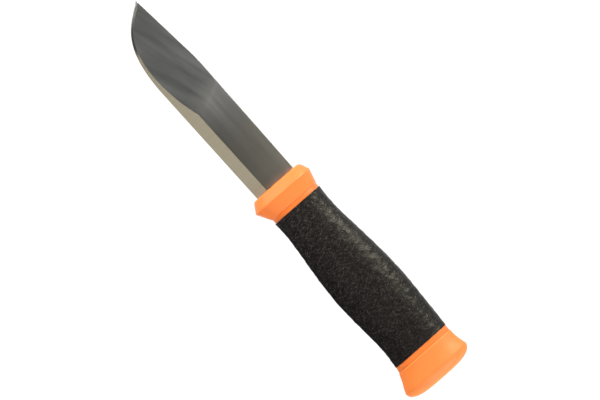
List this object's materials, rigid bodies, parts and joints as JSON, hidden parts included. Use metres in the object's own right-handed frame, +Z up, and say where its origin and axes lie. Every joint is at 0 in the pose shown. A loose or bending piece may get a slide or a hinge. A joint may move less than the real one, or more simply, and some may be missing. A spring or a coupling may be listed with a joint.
{
  "type": "fixed-blade knife",
  "caption": "Fixed-blade knife for outdoor and boat work: ground steel blade thinned towards a dropped point, crinkled black rubber grip, orange plastic collar and flared butt.",
  "frame": {"origin": "under the middle of the knife's outer box, on the surface that it lies on", "axes": "+X from the butt to the point, +Y towards the cutting edge, +Z up out of the side that lies uppermost"},
  "size_m": [0.226, 0.0368, 0.0236],
  "materials": {
    "steel": "flats with a fine lengthwise grind, a slanted grind on the thinned front half, brighter ground bevel",
    "orange_plastic": "satin moulded",
    "black_rubber": "crinkled, semi-matt"
  },
  "bodies": {
    "root": {"blade": "steel", "handle_core": "orange_plastic", "front_collar": "orange_plastic", "rubber_grip": "black_rubber", "butt_cap": "orange_plastic"}
  },
  "joints": []
}
